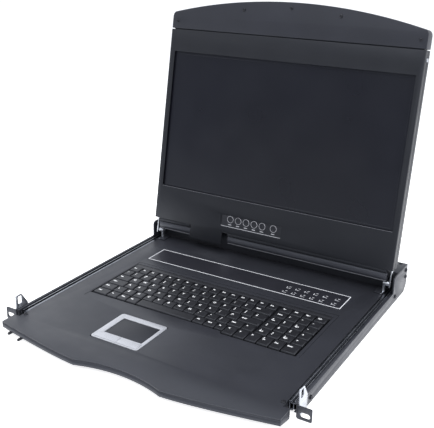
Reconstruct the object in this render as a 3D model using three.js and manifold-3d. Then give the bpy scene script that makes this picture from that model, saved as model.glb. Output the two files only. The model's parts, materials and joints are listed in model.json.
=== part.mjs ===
// A one-unit rack console drawer: a tray with keyboard and touchpad slides out of a
// rack chassis on three-member ball slides, a wide display folds up from the tray's
// rear edge, and a switch box sits across the back of the chassis.
// Millimetres, +Z up, +Y towards the back of the rack, X across it.

import * as THREE from 'three';
import { mergeVertices } from 'three/addons/utils/BufferGeometryUtils.js';
import Module from 'manifold-3d';

const wasm = await Module();
wasm.setup();

// ---------------------------------------------------------------- driving dimensions

const SHEET = 1.5;                 // usual sheet thickness
const GAP = 0.3;                   // gap between pieces that touch

const RACK_HALF = 241.3;           // half of the 482.6 mm panel width
const RACK_HOLE_HALF = 232.55;     // half of the 465.1 mm hole spacing
const CASE_HEIGHT = 44;            // one rack unit, less clearance
const PLATE_OUT = 222.4;           // outer face of the chassis side plates
const PLATE_IN = 220.4;
const PLATE_FRONT = 34.1;
const PLATE_BACK = 434;
const RAIL_TOP = 18.2;             // top of the low part of the side plates
const CASE_FRONT = 392.5;          // front wall of the rear switch box

const DECK_TOP = 16;               // top of the tray deck above the chassis underside
const DECK_HALF = 207.6;           // half width of the deck between the slides
const REST_HALF = 217;             // half width of the palm rest
const REST_BACK = 24.3;            // back edge of the palm rest's ends
const TRAY_BACK = 388;
const LIP_BOTTOM = 7;
const NOTCH_HALF = 67;             // half width of the finger notch in the front edge
const NOTCH_FRONT = -24.4;         // foremost line of the palm rest
const NOTCH_DEPTH = 11.6;

const HINGE_Y = 378.2;
const HINGE_Z = 29.6;
const TILT = THREE.MathUtils.degToRad(10.46);   // lean of the open display behind vertical
const LID_HALF = 217.7;
const LID_FRONT = -11.5;           // face of the display, in front of the hinge axis
const LID_BACK = 11;
const LID_FOOT = 23;               // lower edge of the display above the hinge axis
const LID_SHOULDER = 350.2;        // top of the housing, under the cap
const CAP_FOOT = 351.7;
const CAP_PEAK = 405;
const CAP_ARCH_R = 885;
const BOLT_UP = 336.5;             // height of the side bolts above the hinge axis

const KEY_PITCH = 18.2;
const KEYS_LEFT = -170.8;
const KEYS_FRONT = 139.5;
const KEY_TOP = 16.9;
const KEY_WEB = [12, 12.8];        // thin web under the caps of one row

const LID_RISE = CAP_PEAK * Math.sin(TILT) + LID_BACK * Math.cos(TILT);
const ORIGIN_Y = (NOTCH_FRONT + HINGE_Y + LID_RISE) / 2;   // middle of the whole depth

// ---------------------------------------------------------------- materials

function paint(color, roughness, metalness) {
  return new THREE.MeshStandardMaterial({ color, roughness, metalness });
}

const blackSteel = paint(0x2c2d33, 0.45, 0.3);
const zincSteel = paint(0xc9cbd0, 0.3, 0.9);
const blackPlastic = paint(0x24252a, 0.6, 0);
const keyPlastic = paint(0x1d1e22, 0.55, 0);
const silverPlastic = paint(0xc6c8ce, 0.35, 0.4);
const padPlastic = paint(0x3a3b40, 0.7, 0);
const screenGlass = paint(0x1b1d26, 0.12, 0);
const overlayFilm = paint(0x2a2a30, 0.35, 0);
const circuitBoard = paint(0x1f4a33, 0.6, 0);
const connectorMetal = paint(0xb4b6ba, 0.35, 0.8);

// ---------------------------------------------------------------- solids

function solid(geometry) {
  geometry.deleteAttribute('normal');
  geometry.deleteAttribute('uv');
  const merged = mergeVertices(geometry, 1e-4);
  const vertProperties = new Float32Array(merged.attributes.position.array);
  const triVerts = new Uint32Array(merged.index.array);
  return new wasm.Manifold(new wasm.Mesh({ numProp: 3, vertProperties, triVerts }));
}

function geometryOf(piece) {
  const { vertProperties, triVerts } = piece.getMesh();
  const geometry = new THREE.BufferGeometry();
  geometry.setAttribute('position', new THREE.BufferAttribute(vertProperties.slice(), 3));
  geometry.setIndex(new THREE.BufferAttribute(triVerts.slice(), 1));
  geometry.computeVertexNormals();
  return geometry;
}

// A block between two opposite corners given per axis as [low, high], in any order.
function block(x, y, z) {
  const spans = [x, y, z].map((span) => [Math.min(...span), Math.max(...span)]);
  const [width, depth, height] = spans.map(([low, high]) => high - low);
  const [cx, cy, cz] = spans.map(([low, high]) => (low + high) / 2);
  return solid(new THREE.BoxGeometry(width, depth, height).translate(cx, cy, cz));
}

// Extrusions of a shape: drawn in XY along Z, in YZ along X, or in XZ along Y.
function extrusion(shape, depth, curveSegments) {
  return new THREE.ExtrudeGeometry(shape, { depth, bevelEnabled: false, curveSegments });
}

function prismZ(shape, [low, high], curveSegments = 12) {
  return solid(extrusion(shape, high - low, curveSegments).translate(0, 0, low));
}

function prismX(shape, span, curveSegments = 12) {
  const low = Math.min(...span);
  const geometry = extrusion(shape, Math.max(...span) - low, curveSegments);
  const turn = new THREE.Matrix4().makeBasis(
    new THREE.Vector3(0, 1, 0), new THREE.Vector3(0, 0, 1), new THREE.Vector3(1, 0, 0));
  return solid(geometry.applyMatrix4(turn).translate(low, 0, 0));
}

function prismY(shape, [low, high], curveSegments = 12) {
  const geometry = extrusion(shape, high - low, curveSegments);
  return solid(geometry.rotateX(Math.PI / 2).translate(0, high, 0));
}

function rodX(radius, span, y, z, sides = 32) {
  const length = Math.abs(span[1] - span[0]);
  const geometry = new THREE.CylinderGeometry(radius, radius, length, sides).rotateZ(Math.PI / 2);
  return solid(geometry.translate((span[0] + span[1]) / 2, y, z));
}

function rodY(radius, span, x, z, sides = 24) {
  const geometry = new THREE.CylinderGeometry(radius, radius, span[1] - span[0], sides);
  return solid(geometry.translate(x, (span[0] + span[1]) / 2, z));
}

function grow([low, high], margin) {
  return [low - margin, high + margin];
}

const join = (first, ...others) => others.reduce((sum, piece) => sum.add(piece), first);
const cut = (first, ...others) => others.reduce((rest, piece) => rest.subtract(piece), first);

function polygon(points) {
  return new THREE.Shape(points.map(([a, b]) => new THREE.Vector2(a, b)));
}

function roundedRectangle([a0, a1], [b0, b1], radius) {
  const shape = new THREE.Shape();
  shape.absarc(a1 - radius, b0 + radius, radius, -Math.PI / 2, 0);
  shape.absarc(a1 - radius, b1 - radius, radius, 0, Math.PI / 2);
  shape.absarc(a0 + radius, b1 - radius, radius, Math.PI / 2, Math.PI);
  shape.absarc(a0 + radius, b0 + radius, radius, Math.PI, 1.5 * Math.PI);
  return shape;
}

// ---------------------------------------------------------------- the model's groups

const model = new THREE.Group();
model.position.y = -ORIGIN_Y;
const display = new THREE.Group();   // its own frame: hinge axis at the origin, Z up the screen
display.position.set(0, HINGE_Y, HINGE_Z);
display.rotation.x = -TILT;
model.add(display);

function addPiece(group, name, piece, material) {
  const mesh = new THREE.Mesh(geometryOf(piece), material);
  mesh.name = name;
  group.add(mesh);
}

const SIDES = [['left', -1], ['right', 1]];
const across = (side, ...values) => values.map((value) => side * value);

// ---------------------------------------------------------------- chassis

function sidePlate(side) {
  const riseFront = 371;
  const riseRound = 7;
  const heel = 9;
  const outline = new THREE.Shape();
  outline.moveTo(PLATE_FRONT, 0);
  outline.lineTo(PLATE_BACK - heel, 0);
  outline.lineTo(PLATE_BACK, heel);
  outline.lineTo(PLATE_BACK, CASE_HEIGHT);
  outline.lineTo(riseFront + riseRound, CASE_HEIGHT);
  outline.absarc(riseFront + riseRound, CASE_HEIGHT - riseRound, riseRound, Math.PI / 2, Math.PI);
  outline.lineTo(riseFront, RAIL_TOP);
  outline.lineTo(PLATE_FRONT, RAIL_TOP);
  const plate = prismX(outline, across(side, PLATE_IN, PLATE_OUT), 6);
  const flange = block(across(side, 218.3, PLATE_IN + 0.5), [PLATE_FRONT, 366], [RAIL_TOP - 1.3, RAIL_TOP]);
  const holes = [[71, 7, 2.6], [381, 9.6, 2.2], [428, 35.7, 1.8], [430, 17, 1.8]];
  const drills = holes.map(([y, z, radius]) => rodX(radius, across(side, 219, 224), y, z, 14));
  return cut(join(plate, flange), ...drills);
}

function rackEar(side) {
  const [low, high] = across(side, 222, RACK_HALF).sort((a, b) => a - b);
  const plate = prismY(roundedRectangle([low, high], [0.4, 18], 1.5), [31.8, 33.8], 3);
  const hole = side * RACK_HOLE_HALF;
  const slot = roundedRectangle([hole - 6.5, hole + 6.5], [3.5, 10.5], 3.49);
  return cut(plate, prismY(slot, [30, 36], 6));
}

function latchStriker(side) {
  const outline = polygon([
    [PLATE_FRONT, 1.2], [57, 1.2], [57, 20.5], [46.5, 37], [45, 38], [35.5, 38], [PLATE_FRONT, 36.6]]);
  const plate = prismX(outline, across(side, 222.7, 224.2));
  const slot = prismX(roundedRectangle([38.2, 45.4], [24, 35.6], 1.8), across(side, 221, 226), 4);
  return cut(plate, slot);
}

// A C-shaped slide member: a web with two flanges, open towards the other side.
function channel(side, web, flange, [bottom, top], [front, back], sheet = 1.2) {
  const along = [front, back];
  return join(
    block(across(side, ...web), along, [bottom, top]),
    block(across(side, ...flange), along, [top - sheet, top]),
    block(across(side, ...flange), along, [bottom, bottom + sheet]));
}

const SLIDE_LENGTH = [40, 388];
const slideOuter = (side) => channel(side, [218.9, 220.1], [215, 219], [1.5, 16.6], SLIDE_LENGTH);
const slideInner = (side) => channel(side, [208.3, 209.5], [209.4, 213], [2.6, 15.4], SLIDE_LENGTH);
const slideMiddle = (side) => channel(side, [213.4, 214.6], [210.2, 217.6], [4.6, 13.4], SLIDE_LENGTH, 1.1);

const CASE_HALF = PLATE_IN - GAP;
const PORT_COUNT = 8;
const PORT_PITCH = 33;
const PORT_FIRST = -88;
const PORT_Z = 24;
const INLET_X = -181;
const INLET_Z = 21;
const SWITCH_X = -143;

function rearCaseBase() {
  return join(
    block([-CASE_HALF, CASE_HALF], [CASE_FRONT, 432.2], [0, 1.3]),
    block([-CASE_HALF, CASE_HALF], [CASE_FRONT, CASE_FRONT + 1.3], [1, CASE_HEIGHT - 1.6]));
}

function portShell(index, margin, [front, back]) {
  const x = PORT_FIRST + index * PORT_PITCH;
  const half = 8.2 + margin;
  const shape = polygon([[x - half + 1.4, PORT_Z - 4 - margin], [x + half - 1.4, PORT_Z - 4 - margin],
    [x + half, PORT_Z + 4 + margin], [x - half, PORT_Z + 4 + margin]]);
  return prismY(shape, [front, back]);
}

function rearPanel() {
  const plate = block([-CASE_HALF, CASE_HALF], [432.5, PLATE_BACK], [0, CASE_HEIGHT - 1.6]);
  const ports = Array.from({ length: PORT_COUNT }, (_, index) => portShell(index, 0.4, [431, 436]));
  const inlet = block([INLET_X - 14.1, INLET_X + 14.1], [431, 436], [INLET_Z - 10.4, INLET_Z + 10.4]);
  const rocker = block([SWITCH_X - 7, SWITCH_X + 7], [431, 436], [INLET_Z - 11, INLET_Z + 11]);
  return cut(plate, ...ports, inlet, rocker);
}

function portConnectors() {
  const last = PORT_FIRST + (PORT_COUNT - 1) * PORT_PITCH;
  const strip = block([PORT_FIRST - 15, last + 15], [422, 432.2], [PORT_Z - 6.5, PORT_Z + 6.5]);
  const shells = Array.from({ length: PORT_COUNT }, (_, index) => portShell(index, 0, [432, 440]));
  return join(strip, ...shells);
}

function powerInlet() {
  const flange = prismY(roundedRectangle([INLET_X - 24, INLET_X + 24], [INLET_Z - 12, INLET_Z + 12], 5),
    [PLATE_BACK + GAP, PLATE_BACK + 2.3], 4);
  const body = block(grow([INLET_X, INLET_X], 13.8), [414, PLATE_BACK + 1], grow([INLET_Z, INLET_Z], 10.1));
  const socket = polygon([
    [INLET_X - 12, INLET_Z - 8], [INLET_X + 12, INLET_Z - 8], [INLET_X + 12, INLET_Z + 4],
    [INLET_X + 8, INLET_Z + 8], [INLET_X - 8, INLET_Z + 8], [INLET_X - 12, INLET_Z + 4]]);
  return cut(join(flange, body), prismY(socket, [418, 440]));
}

// The rocker's two face halves meet at its swing angle: at rest the lower one is pressed flush.
const ROCKER_PIVOT_Y = 430;
const ROCKER_SWING = THREE.MathUtils.degToRad(16);
function powerRocker() {
  const half = 9;
  const face = ROCKER_PIVOT_Y + 4.6;
  const outline = polygon([[ROCKER_PIVOT_Y - 6, INLET_Z - half], [face, INLET_Z - half], [face, INLET_Z],
    [face + half * Math.tan(ROCKER_SWING), INLET_Z + half], [ROCKER_PIVOT_Y - 6, INLET_Z + half]]);
  return prismX(outline, [SWITCH_X - 6, SWITCH_X + 6]);
}

function addChassis() {
  for (const [word, side] of SIDES) {
    addPiece(model, `side_plate_${word}`, sidePlate(side), blackSteel);
    addPiece(model, `rack_ear_${word}`, rackEar(side), blackSteel);
    addPiece(model, `latch_striker_${word}`, latchStriker(side), zincSteel);
    addPiece(model, `slide_outer_${word}`, slideOuter(side), zincSteel);
    addPiece(model, `slide_middle_${word}`, slideMiddle(side), zincSteel);
  }
  addPiece(model, 'rear_case_base', rearCaseBase(), blackSteel);
  addPiece(model, 'rear_panel', rearPanel(), blackSteel);
  const cover = block([-CASE_HALF, CASE_HALF], [CASE_FRONT, PLATE_BACK], [CASE_HEIGHT - 1.3, CASE_HEIGHT]);
  addPiece(model, 'rear_case_cover', cover, blackSteel);
  addPiece(model, 'switch_board', block([-105, 200], [396, 430], [8, 9.6]), circuitBoard);
  addPiece(model, 'port_connectors', portConnectors(), connectorMetal);
  addPiece(model, 'power_supply', block([-214, -118], [394.5, 411], [4, 36]), circuitBoard);
  addPiece(model, 'power_inlet', powerInlet(), blackPlastic);
  addPiece(model, 'power_rocker', powerRocker(), blackPlastic);
}

// ---------------------------------------------------------------- tray

// The palm rest from above: bowed wings that meet a round finger notch in the middle.
function restOutline(inset) {
  const half = REST_HALF - inset;
  const front = NOTCH_FRONT + inset;
  const radius = (NOTCH_HALF ** 2 + NOTCH_DEPTH ** 2) / (2 * NOTCH_DEPTH);
  const centreY = front + NOTCH_DEPTH - radius;
  const sweep = Math.asin(NOTCH_HALF / radius);
  const outline = new THREE.Shape();
  outline.moveTo(-half, REST_BACK - inset);
  outline.lineTo(-half, inset);
  outline.quadraticCurveTo(-115, NOTCH_FRONT + 2.9 + inset, -NOTCH_HALF, front);
  outline.absarc(0, centreY, radius, Math.PI / 2 + sweep, Math.PI / 2 - sweep, true);
  outline.quadraticCurveTo(115, NOTCH_FRONT + 2.9 + inset, half, inset);
  outline.lineTo(half, REST_BACK - inset);
  return outline;
}

const TOUCH_X = [-87.2, -9.2];
const TOUCH_Y = [33.8, 107.1];
const KEY_WELL = [
  [-172.6, 137.6], [56, 137.6], [60, 131.6], [172.6, 131.6], [172.6, 258.6], [-172.6, 258.6]];
const STRIP_HALF = 171.5;
const STRIP_Y = [284.2, 331];

function trayDeck() {
  const lipWall = 1.8;
  const underside = DECK_TOP - 1.4;
  const rest = cut(prismZ(restOutline(0), [LIP_BOTTOM, DECK_TOP]),
    prismZ(restOutline(lipWall), [LIP_BOTTOM - 1, underside]));
  const plate = block([-DECK_HALF, DECK_HALF], [REST_BACK - 3, TRAY_BACK], [underside, DECK_TOP]);
  const endWall = polygon([
    [0, LIP_BOTTOM + 0.5], [0, LIP_BOTTOM], [REST_BACK, 2.6], [REST_BACK, LIP_BOTTOM + 0.5]]);
  const ends = SIDES.flatMap(([, side]) => [
    prismX(endWall, across(side, REST_HALF - lipWall, REST_HALF)),
    block(across(side, DECK_HALF, REST_HALF), [REST_BACK - SHEET, REST_BACK], [2.6, underside + 0.5])]);
  const openFront = block(
    [-DECK_HALF, DECK_HALF], [REST_BACK - 2, REST_BACK + 1], [LIP_BOTTOM - 1, underside]);
  const through = [underside - 1, DECK_TOP + 1];
  return cut(join(rest, plate, ...ends), openFront,
    prismZ(polygon(KEY_WELL), through),
    block(grow(TOUCH_X, GAP), grow(TOUCH_Y, GAP), through),
    block([-STRIP_HALF, STRIP_HALF], STRIP_Y, through));
}

function trayPan() {
  const wall = 1.2;
  const width = [-DECK_HALF, DECK_HALF];
  const depth = [REST_BACK + 1.2, TRAY_BACK];
  const floor = 1.4;
  return cut(block(width, depth, [floor, DECK_TOP - 1.7]),
    block(grow(width, -wall), grow(depth, -wall), [floor + wall, DECK_TOP]));
}

function releaseLever() {
  const [left, right] = [-200, -173];
  return join(
    block([left, right], [2, 7], [3.4, 6.6]),
    block([left, left + 3.2], [-8, 3], [3.4, 6.6]),
    block([right - 3.2, right], [-14, 3], [3.4, 6.6]));
}

function hingeBracket(side) {
  const foot = block(across(side, 194, 206.9), [364, 386], [DECK_TOP + GAP, DECK_TOP + 1.8]);
  const thickness = grow([HINGE_Y, HINGE_Y], 3.9);
  const upright = block(across(side, 203.5, 206.9), thickness, [DECK_TOP + 1, HINGE_Z]);
  const barrel = rodX(4, across(side, 203.5, 213.2), HINGE_Y, HINGE_Z);
  return cut(join(foot, upright, barrel), rodX(2.5, across(side, 203, 214), HINGE_Y, HINGE_Z));
}

function addTray() {
  for (const [word, side] of SIDES) {
    addPiece(model, `slide_inner_${word}`, slideInner(side), zincSteel);
    addPiece(model, `hinge_bracket_${word}`, hingeBracket(side), zincSteel);
  }
  addPiece(model, 'tray_deck', trayDeck(), blackSteel);
  addPiece(model, 'tray_pan', trayPan(), blackSteel);
  const restBase = prismZ(restOutline(2.1), [LIP_BOTTOM + 0.2, LIP_BOTTOM + 1.4]);
  addPiece(model, 'palm_rest_base', restBase, blackSteel);
  addPiece(model, 'release_lever', releaseLever(), blackPlastic);
  const stripWidth = grow([-STRIP_HALF, STRIP_HALF], -GAP);
  const strip = block(stripWidth, grow(STRIP_Y, -GAP), [DECK_TOP - 1.2, DECK_TOP + 0.2]);
  addPiece(model, 'control_strip', strip, overlayFilm);
  addPiece(model, 'control_board', block([-165, 165], [288, 327], [11, 12.6]), circuitBoard);
}

// ---------------------------------------------------------------- touchpad

function addTouchpad() {
  const button = [TOUCH_Y[0] + 2.6, TOUCH_Y[0] + 16.4];
  const middle = -46.6;
  const padWindow = [[-77.4, -14.5], [51.6, 96.7]];
  const buttonWindow = [[TOUCH_X[0] + 2.6, TOUCH_X[1] - 2.6], button];
  const body = [DECK_TOP - 3, DECK_TOP + 0.7];
  const through = grow(body, 1);
  const bezel = cut(prismZ(roundedRectangle(TOUCH_X, TOUCH_Y, 2), body, 4),
    block(...padWindow, through), block(...buttonWindow, through));
  addPiece(model, 'touchpad_bezel', bezel, silverPlastic);
  const pad = block(grow(padWindow[0], -GAP), grow(padWindow[1], -GAP), [DECK_TOP - 2.8, DECK_TOP + 0.1]);
  addPiece(model, 'touchpad_surface', pad, padPlastic);
  const [left, right] = grow(buttonWindow[0], -0.4);
  const spans = { left: [left, middle - 0.3], right: [middle + 0.3, right] };
  for (const [word, span] of Object.entries(spans)) {
    const cap = block(span, grow(button, -0.4), [DECK_TOP - 2.4, DECK_TOP + 1]);
    addPiece(model, `touchpad_button_${word}`, cap, silverPlastic);
  }
}

// ---------------------------------------------------------------- keyboard

// Key widths of each row in key pitches, from the left; a negative number is a gap.
const ones = (count, width = 1) => Array(count).fill(width);
const NUMBER_BLOCK = [-0.2, ...ones(4)];
const KEY_ROWS = [
  { name: 'keys_bottom_left', row: 0, start: 0, widths: [1.4, 1, 0.95, 1.05] },
  { name: 'key_space', row: 0, start: 4.4, widths: [5.35] },
  { name: 'keys_bottom_right', row: 0, start: 9.75, widths: [1, 1, 0.8, ...ones(5), 1.2], step: 3 },
  { name: 'keys_shift_row', row: 1, start: 0, widths: [1.3, ...ones(11), 1.25, 1, ...NUMBER_BLOCK] },
  { name: 'keys_home_row', row: 2, start: 0, widths: [1.65, ...ones(11), 1.9, ...NUMBER_BLOCK] },
  { name: 'keys_upper_row', row: 3, start: 0, widths: [1.4, ...ones(12), 1.15, ...NUMBER_BLOCK] },
  { name: 'keys_number_row', row: 4, start: 0, widths: [0.85, ...ones(12), 1.7, ...NUMBER_BLOCK] },
  { name: 'keys_function_row', row: 5, start: 0, widths: [1, ...ones(15, 0.9), -0.25, ...ones(4)] },
];
const ARROW_STEP = 5.5;            // the arrow and number keys of the front row stand forward

// A cap that narrows towards its dished-looking top.
function keyCap([left, right], [front, back]) {
  const shrink = 1.1;
  const height = KEY_TOP - KEY_WEB[1] + 0.2;
  const geometry = new THREE.BoxGeometry(right - left, back - front, height);
  const position = geometry.attributes.position;
  for (let i = 0; i < position.count; i += 1) {
    if (position.getZ(i) < 0) continue;
    position.setX(i, position.getX(i) - Math.sign(position.getX(i)) * shrink);
    position.setY(i, position.getY(i) - Math.sign(position.getY(i)) * shrink);
  }
  return solid(geometry.translate((left + right) / 2, (front + back) / 2, KEY_TOP - height / 2));
}

function keyRow({ row, start, widths, step = Infinity }) {
  const half = 0.45;               // half of the gap between neighbouring caps
  const front = KEYS_FRONT + row * KEY_PITCH + half;
  const back = front + KEY_PITCH - 2 * half;
  const caps = [];
  let x = KEYS_LEFT + start * KEY_PITCH;
  widths.forEach((width, index) => {
    const next = x + Math.abs(width) * KEY_PITCH;
    const forward = index >= step ? ARROW_STEP : 0;
    if (width > 0) caps.push(keyCap([x + half, next - half], [front - forward, back]));
    x = next;
  });
  const left = KEYS_LEFT + start * KEY_PITCH + half;
  const web = block([left, x - half], [front, back], KEY_WEB);
  return join(web, ...caps);
}

function addKeyboard() {
  const base = KEY_WELL.map(([x, y]) => [x - Math.sign(x) * 0.6, y < 150 ? y + 0.6 : y - 0.6]);
  addPiece(model, 'keyboard_base', prismZ(polygon(base), [8.4, 9.7]), blackPlastic);
  for (const row of KEY_ROWS) addPiece(model, row.name, keyRow(row), keyPlastic);
}

// ---------------------------------------------------------------- display

const SCREEN_HALF = 208.5;
const SCREEN_UP = [81.5, 314];
const PANEL_FACE = LID_FRONT + 4;
const TONGUE_X = [-143, -80];
const OSD_X = [-84, 27.3];
const OSD_UP = [34, 53.2];
const OSD_BUTTONS = [-67, -52, -37, -22, -7, 13.5];
const OSD_BUTTON_UP = 46.9;

function boltNotch(side) {
  return block(across(side, 214, 219), [-3.6, 3.6], [BOLT_UP - 3.2, BOLT_UP + 3.2]);
}

function displayBezel() {
  const wall = 1.8;
  const back = -1;
  const shell = block([-LID_HALF, LID_HALF], [LID_FRONT, back], [LID_FOOT, LID_SHOULDER]);
  const inside = block([-LID_HALF + wall, LID_HALF - wall], [LID_FRONT + 2, back + 1],
    [LID_FOOT + wall, LID_SHOULDER - wall]);
  const tongue = block(TONGUE_X, [LID_FRONT, LID_FRONT + 2], [0.4, LID_FOOT + 1]);
  const screen = block([-SCREEN_HALF, SCREEN_HALF], [LID_FRONT - 1, LID_FRONT + 3], SCREEN_UP);
  const buttons = block(OSD_X, [LID_FRONT - 1, LID_FRONT + 3], OSD_UP);
  return cut(join(cut(shell, inside), tongue), screen, buttons, boltNotch(-1), boltNotch(1));
}

function displayBackCover() {
  const wall = 1.5;
  const front = -0.7;
  const shell = block([-LID_HALF, LID_HALF], [front, LID_BACK], [LID_FOOT, LID_SHOULDER]);
  const inside = block([-LID_HALF + wall, LID_HALF - wall], [front - 1, LID_BACK - wall],
    [LID_FOOT + wall, LID_SHOULDER - wall]);
  return cut(shell, inside, boltNotch(-1), boltNotch(1));
}

function capOutline(inset, foot) {
  const half = LID_HALF - inset;
  const radius = CAP_ARCH_R - inset;
  const centre = CAP_PEAK - CAP_ARCH_R;
  const corner = 8;
  const sweep = Math.asin((half - corner * 0.55) / radius);
  const outline = new THREE.Shape();
  outline.moveTo(-half, foot);
  outline.lineTo(half, foot);
  const shoulder = centre + radius * Math.cos(Math.asin(half / radius)) - corner;
  outline.lineTo(half, shoulder);
  outline.quadraticCurveTo(half, shoulder + corner * 0.8,
    radius * Math.sin(sweep), centre + radius * Math.cos(sweep));
  outline.absarc(0, centre, radius, Math.PI / 2 - sweep, Math.PI / 2 + sweep);
  outline.quadraticCurveTo(-half, shoulder + corner * 0.8, -half, shoulder);
  return outline;
}

function displayCap() {
  return cut(prismY(capOutline(0, CAP_FOOT), [LID_FRONT, LID_BACK], 24),
    prismY(capOutline(2, CAP_FOOT - 2), [LID_FRONT + 2, LID_BACK - 2], 24));
}

function osdPanel() {
  const plate = block(grow(OSD_X, -GAP), [LID_FRONT + 0.9, LID_FRONT + 2.4], grow(OSD_UP, -GAP));
  return cut(plate, ...OSD_BUTTONS.map((x) => rodY(5.3, [LID_FRONT, LID_FRONT + 4], x, OSD_BUTTON_UP)));
}

function latchBolt(side) {
  const bar = block(across(side, 204, 219.2), [-3, 3], [BOLT_UP - 2.6, BOLT_UP + 2.6]);
  const heel = block(across(side, 204, 207), [-3, 3], [BOLT_UP - 6, BOLT_UP + 6]);
  return join(bar, heel);
}

function hingeLeaf(side) {
  const pin = rodX(2.2, across(side, 204, 214), 0, 0);
  const leaf = block(across(side, 213.6, 215.4), [-5, 5], [-5, 22.7]);
  const ledge = block(across(side, 196, 214), [-5, 5], [21, 22.7]);
  return join(leaf, pin, ledge);
}

function addDisplay() {
  addPiece(display, 'display_bezel', displayBezel(), blackSteel);
  addPiece(display, 'display_back_cover', displayBackCover(), blackSteel);
  addPiece(display, 'display_cap', displayCap(), blackSteel);
  const panel = block(grow([-SCREEN_HALF, SCREEN_HALF], 3.5), [PANEL_FACE, 1.5], grow(SCREEN_UP, 3));
  addPiece(display, 'lcd_panel', panel, screenGlass);
  addPiece(display, 'driver_board', block([-60, 60], [4, 5.6], [110, 210]), circuitBoard);
  addPiece(display, 'osd_panel', osdPanel(), blackPlastic);
  OSD_BUTTONS.forEach((x, index) => {
    const cap = rodY(4.9, [LID_FRONT + 0.1, LID_FRONT + 3.6], x, OSD_BUTTON_UP);
    addPiece(display, `osd_button_${index + 1}`, cap, blackPlastic);
  });
  const covers = { left: [-209, TONGUE_X[0] - 1.5], right: [TONGUE_X[1] + 10, 209] };
  for (const [word, side] of SIDES) {
    const round = roundedRectangle([-8.5, 8.5], [4.6, 19.5], 6.5);
    addPiece(display, `hinge_cover_${word}`, prismX(round, covers[word], 8), blackSteel);
    addPiece(display, `hinge_leaf_${word}`, hingeLeaf(side), zincSteel);
    addPiece(display, `latch_bolt_${word}`, latchBolt(side), zincSteel);
  }
}

addChassis();
addTray();
addTouchpad();
addKeyboard();
addDisplay();

export default model;
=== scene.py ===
"""A rack console drawer: a steel tray with keyboard and touchpad on ball slides, a wide display
folded up from its rear edge, and a switch box across the back of the chassis.

Lengths in the tables below are millimetres, and MM turns them into the frame's metres."""

import json
import math
from contextlib import contextmanager

import bmesh
import bpy
from mathutils import Matrix, Vector


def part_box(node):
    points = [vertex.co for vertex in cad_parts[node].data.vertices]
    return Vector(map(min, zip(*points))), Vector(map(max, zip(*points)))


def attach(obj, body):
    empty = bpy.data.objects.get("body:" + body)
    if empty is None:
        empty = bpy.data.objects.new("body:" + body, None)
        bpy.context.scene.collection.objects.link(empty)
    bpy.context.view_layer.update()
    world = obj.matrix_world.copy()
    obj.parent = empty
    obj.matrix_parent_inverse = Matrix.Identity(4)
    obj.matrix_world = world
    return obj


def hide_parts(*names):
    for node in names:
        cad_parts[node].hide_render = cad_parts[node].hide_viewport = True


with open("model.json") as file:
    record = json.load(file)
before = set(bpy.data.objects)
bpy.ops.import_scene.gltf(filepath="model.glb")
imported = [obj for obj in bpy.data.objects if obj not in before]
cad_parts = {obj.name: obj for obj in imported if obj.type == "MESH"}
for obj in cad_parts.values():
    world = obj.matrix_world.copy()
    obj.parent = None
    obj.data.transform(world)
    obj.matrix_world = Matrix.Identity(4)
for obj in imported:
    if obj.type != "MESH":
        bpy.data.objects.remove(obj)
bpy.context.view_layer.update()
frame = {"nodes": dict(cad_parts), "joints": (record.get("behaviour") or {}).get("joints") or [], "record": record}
bpy.ops.object.select_all(action="DESELECT")

MM = 0.001
SIDES = (("left", -1), ("right", 1))
BODY_OF = {
    node: body
    for body, nodes in frame["record"]["behaviour"]["bodies"].items()
    for node in nodes
}

# The display's own frame has the hinge axis at its origin and Z up the screen.
HINGE = Vector(next(j["pos_m"] for j in frame["joints"] if j["name"] == "display_hinge"))
LEAN = math.radians(10.46)
DISPLAY_FACE = -11.5  # the bezel's front, in front of the hinge axis
CAP_FOOT = 351.7  # lower edge of the cap above the hinge axis
SCREEN_FOOT = 81.5  # lower edge of the screen's opening above the hinge axis

DECK_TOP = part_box("tray_deck")[1].z / MM
FRAME_Y = 219.0723  # how far the frame's origin lies behind the palm rest's front corners


# ---------------------------------------------------------------- camera, floor and light


BRIGHT_SIDE = (0, 1, 1.9)  # the sweep is brightest overhead and behind the drawer
# The floor's painted glow: emission along the floor from front to rear, none in front, strongest under the drawer,
# weaker far behind.
FLOOR_PAINTED_GLOW = ((0.1, "#000000"), (0.3, "#e0e0e0"), (0.7, "#e0e0e0"), (1, "#7c7c7c"))
FLOOR_PAINTED_GLOW_REACH = 0.9  # metres to the front and to the rear


def add_camera():
    """A short telephoto from the front right corner, looking down on the tray."""
    lens = bpy.data.cameras.new("camera")
    lens.lens = 62.98
    lens.sensor_width = 36
    lens.sensor_fit = "HORIZONTAL"
    lens.shift_x = -0.0021
    lens.shift_y = -0.0147
    lens.clip_end = 50
    camera = bpy.data.objects.new("camera", lens)
    camera.location = (0.5221, -0.8767, 0.5305)
    camera.rotation_euler = [math.radians(a) for a in (70.055, -0.613, 30.909)]
    bpy.context.scene.collection.objects.link(camera)
    bpy.context.scene.camera = camera


def add_softbox(name, place, target, size, power):
    """A flat rectangular lamp that faces its target."""
    lamp = bpy.data.lights.new(name, "AREA")
    lamp.shape = "RECTANGLE"
    lamp.size, lamp.size_y = size
    lamp.energy = power
    softbox = bpy.data.objects.new(name, lamp)
    softbox.location = place
    softbox.rotation_euler = (Vector(target) - Vector(place)).to_track_quat("-Z", "Y").to_euler()
    softbox.visible_camera = False
    bpy.context.scene.collection.objects.link(softbox)


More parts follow.
